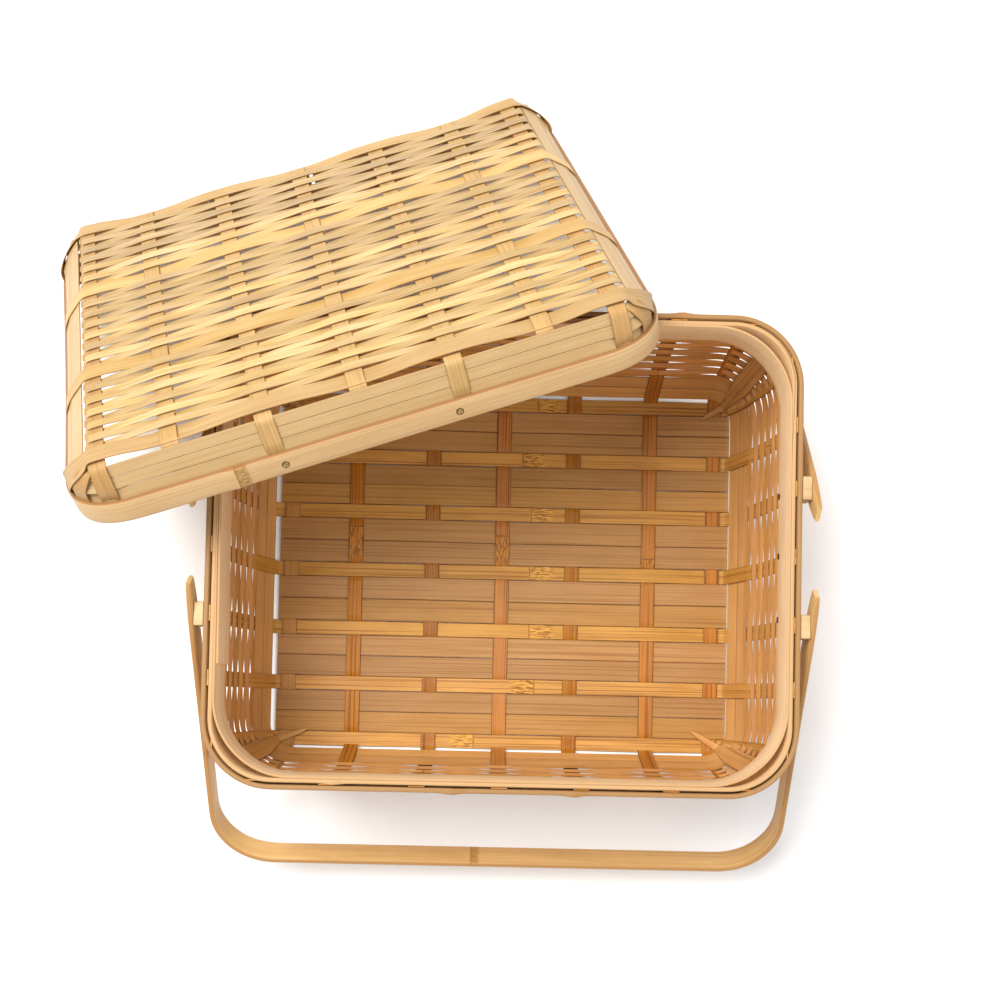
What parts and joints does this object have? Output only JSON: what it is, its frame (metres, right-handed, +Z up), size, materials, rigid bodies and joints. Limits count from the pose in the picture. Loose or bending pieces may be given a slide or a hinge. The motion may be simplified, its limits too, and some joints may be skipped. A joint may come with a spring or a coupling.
{
  "type": "lidded pie basket with two handles",
  "caption": "Rectangular bamboo splint basket with a woven floor, hooped rim, two swinging bent handles and a separate woven lid leaning on its back corner.",
  "frame": {"origin": "centre of the underside of the basket's woven floor, on the surface that it stands on", "axes": "+X along the basket's length to the right, +Y to the back, +Z up; the lid leans over the back left corner"},
  "size_m": [0.4434, 0.4721, 0.195],
  "materials": {
    "cross_stake_bamboo": "satin",
    "long_stake_bamboo": "satin",
    "floor_slat_bamboo": "satin",
    "wall_slat_bamboo": "satin",
    "weaver_bamboo": "satin",
    "corner_stake_bamboo": "satin",
    "hoop_bamboo": "satin",
    "block_bamboo": "satin",
    "handle_bamboo": "satin",
    "lid_hoop_bamboo": "satin",
    "lid_slat_bamboo": "satin",
    "lid_weaver_bamboo": "satin",
    "lid_stake_bamboo": "satin",
    "brass": "polished"
  },
  "bodies": {
    "basket": {"cross_stake_1": "cross_stake_bamboo", "cross_stake_2": "cross_stake_bamboo", "cross_stake_3": "cross_stake_bamboo", "cross_stake_4": "cross_stake_bamboo", "cross_stake_5": "cross_stake_bamboo", "cross_stake_6": "cross_stake_bamboo", "cross_stake_7": "cross_stake_bamboo", "long_stake_1": "long_stake_bamboo", "long_stake_2": "long_stake_bamboo", "long_stake_3": "long_stake_bamboo", "long_stake_4": "long_stake_bamboo", "long_stake_5": "long_stake_bamboo", "long_stake_6": "long_stake_bamboo", "long_stake_7": "long_stake_bamboo", "floor_slat_1": "floor_slat_bamboo", "floor_slat_2": "floor_slat_bamboo", "floor_slat_3": "floor_slat_bamboo", "floor_slat_4": "floor_slat_bamboo", "floor_slat_5": "floor_slat_bamboo", "floor_slat_6": "floor_slat_bamboo", "floor_slat_7": "floor_slat_bamboo", "floor_slat_8": "floor_slat_bamboo", "floor_slat_9": "floor_slat_bamboo", "floor_slat_10": "floor_slat_bamboo", "floor_slat_11": "floor_slat_bamboo", "floor_slat_12": "floor_slat_bamboo", "wall_slat_1": "wall_slat_bamboo", "wall_slat_2": "wall_slat_bamboo", "woven_band": "weaver_bamboo", "corner_stake_1": "corner_stake_bamboo", "corner_stake_2": "corner_stake_bamboo", "corner_stake_3": "corner_stake_bamboo", "corner_stake_4": "corner_stake_bamboo", "rim_outer_hoop": "hoop_bamboo", "rim_inner_hoop": "hoop_bamboo", "rim_collar": "hoop_bamboo", "pivot_block_front_left": "block_bamboo", "pivot_block_front_right": "block_bamboo", "pivot_block_back_left": "block_bamboo", "pivot_block_back_right": "block_bamboo", "pivot_nail_front_left": "brass", "pivot_nail_front_right": "brass", "pivot_nail_back_left": "brass", "pivot_nail_back_right": "brass"},
    "front_handle_body": {"front_handle": "handle_bamboo"},
    "back_handle_body": {"back_handle": "handle_bamboo"},
    "lid_body": {"lid_hoop": "lid_hoop_bamboo", "lid_slat_1": "lid_slat_bamboo", "lid_slat_2": "lid_slat_bamboo", "lid_slat_3": "lid_slat_bamboo", "lid_panel": "lid_weaver_bamboo", "lid_stake_1": "lid_stake_bamboo", "lid_stake_2": "lid_stake_bamboo", "lid_stake_3": "lid_stake_bamboo", "lid_stake_4": "lid_stake_bamboo", "lid_stake_5": "lid_stake_bamboo", "lid_stake_6": "lid_stake_bamboo", "lid_stake_7": "lid_stake_bamboo"}
  },
  "joints": [
    {"name": "lid_lift", "type": "slide", "parent": "basket", "child": "lid_body", "axis": [0, 0, 1], "range_m": [0, 0.4]},
    {"name": "front_handle_swing", "type": "hinge", "parent": "basket", "child": "front_handle_body", "pos_m": [0, -0.0375, 0.1195], "axis": [-1, 0, 0], "range_deg": [-10, 123]},
    {"name": "back_handle_swing", "type": "hinge", "parent": "basket", "child": "back_handle_body", "pos_m": [0, 0.0375, 0.1195], "axis": [1, 0, 0], "range_deg": [0, 134]}
  ],
  "couplings": [
    {"joint": "back_handle_swing", "follows": "lid_lift", "rad_per_m": 5.8136}
  ]
}
